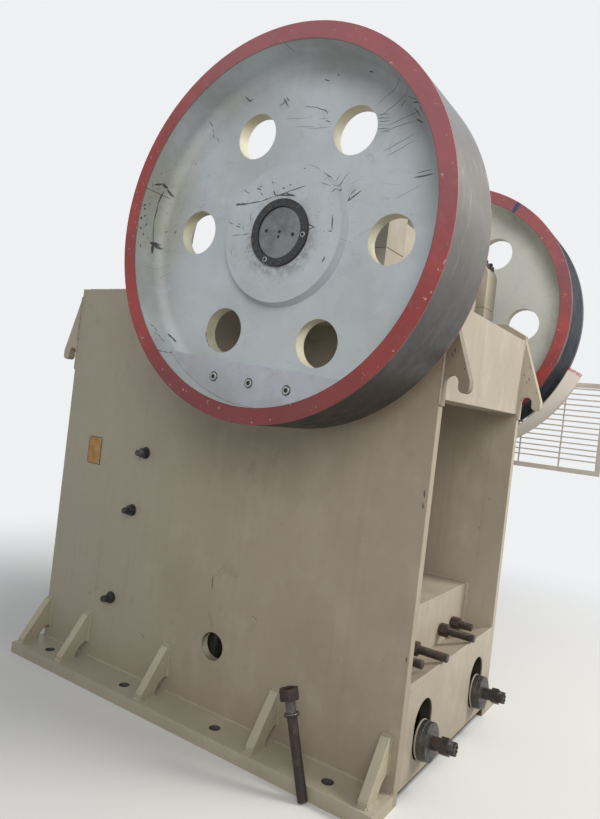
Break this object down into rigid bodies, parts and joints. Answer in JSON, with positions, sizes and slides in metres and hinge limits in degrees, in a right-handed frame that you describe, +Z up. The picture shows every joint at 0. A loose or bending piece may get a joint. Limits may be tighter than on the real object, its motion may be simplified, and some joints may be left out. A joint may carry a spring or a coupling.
{
  "type": "jaw crusher",
  "caption": "Single-toggle jaw crusher: welded box frame with jaws inside, an eccentric shaft between a flywheel and a grooved sheave, and anchor flanges.",
  "frame": {"origin": "on the floor, in the middle between the side plates and straight under the shaft line", "axes": "+X toward the toggle rear, -X toward the feed front, Y along the shaft with the flywheel at -Y and the sheave at +Y, +Z up"},
  "size_m": [2.863, 2.317, 3.156],
  "materials": {
    "frame_paint": "cream paint over weld-ground plate, dusty and scuffed",
    "wheel_paint": "pale paint on a casting, black scuffs, red rim face",
    "jaw_steel": "raw manganese steel casting, dull",
    "dark_steel": "oiled dark steel with brown rust",
    "shaft_steel": "turned steel, dull with oil",
    "toggle_iron": "raw iron casting"
  },
  "bodies": {
    "frame": {"side_plate_near": "frame_paint", "side_plate_far": "frame_paint", "front_wall": "frame_paint", "front_ribs": "frame_paint", "rear_top_beam": "frame_paint", "toggle_beam": "frame_paint", "rear_lower_beam": "frame_paint", "base_flange_near": "frame_paint", "base_flange_far": "frame_paint", "gussets_near": "frame_paint", "gussets_far": "frame_paint", "hook_front_near": "frame_paint", "hook_front_far": "frame_paint", "hook_rear_near": "frame_paint", "hook_rear_far": "frame_paint", "bearing_housing_near": "frame_paint", "bearing_housing_far": "frame_paint", "bearing_cap_near": "frame_paint", "bearing_cap_far": "frame_paint", "bearing_near": "shaft_steel", "bearing_far": "shaft_steel", "fixed_jaw_plate": "jaw_steel", "swing_jaw": "frame_paint", "swing_jaw_plate": "jaw_steel", "cheek_plate_near": "jaw_steel", "cheek_plate_far": "jaw_steel", "toggle_plate": "toggle_iron", "toggle_seat_rear": "toggle_iron", "toggle_seat_jaw": "toggle_iron", "adjusting_studs": "dark_steel", "tension_rods": "dark_steel", "spring_discs": "dark_steel", "cheek_bolts_near": "dark_steel", "cheek_bolts_far": "dark_steel", "belt_guard_sheet": "frame_paint", "belt_guard_mesh": "frame_paint", "belt_guard_brackets": "frame_paint", "holding_down_bolt": "dark_steel"},
    "rotor": {"eccentric_shaft": "shaft_steel", "flywheel": "wheel_paint", "sheave": "wheel_paint", "lock_ring_near": "dark_steel", "lock_ring_far": "dark_steel", "counterweight_near": "wheel_paint", "counterweight_far": "wheel_paint"}
  },
  "joints": [
    {"name": "shaft_spin", "type": "hinge", "parent": "frame", "child": "rotor", "pos_m": [0, 0, 2.346], "axis": [0, 1, 0], "continuous": true}
  ]
}
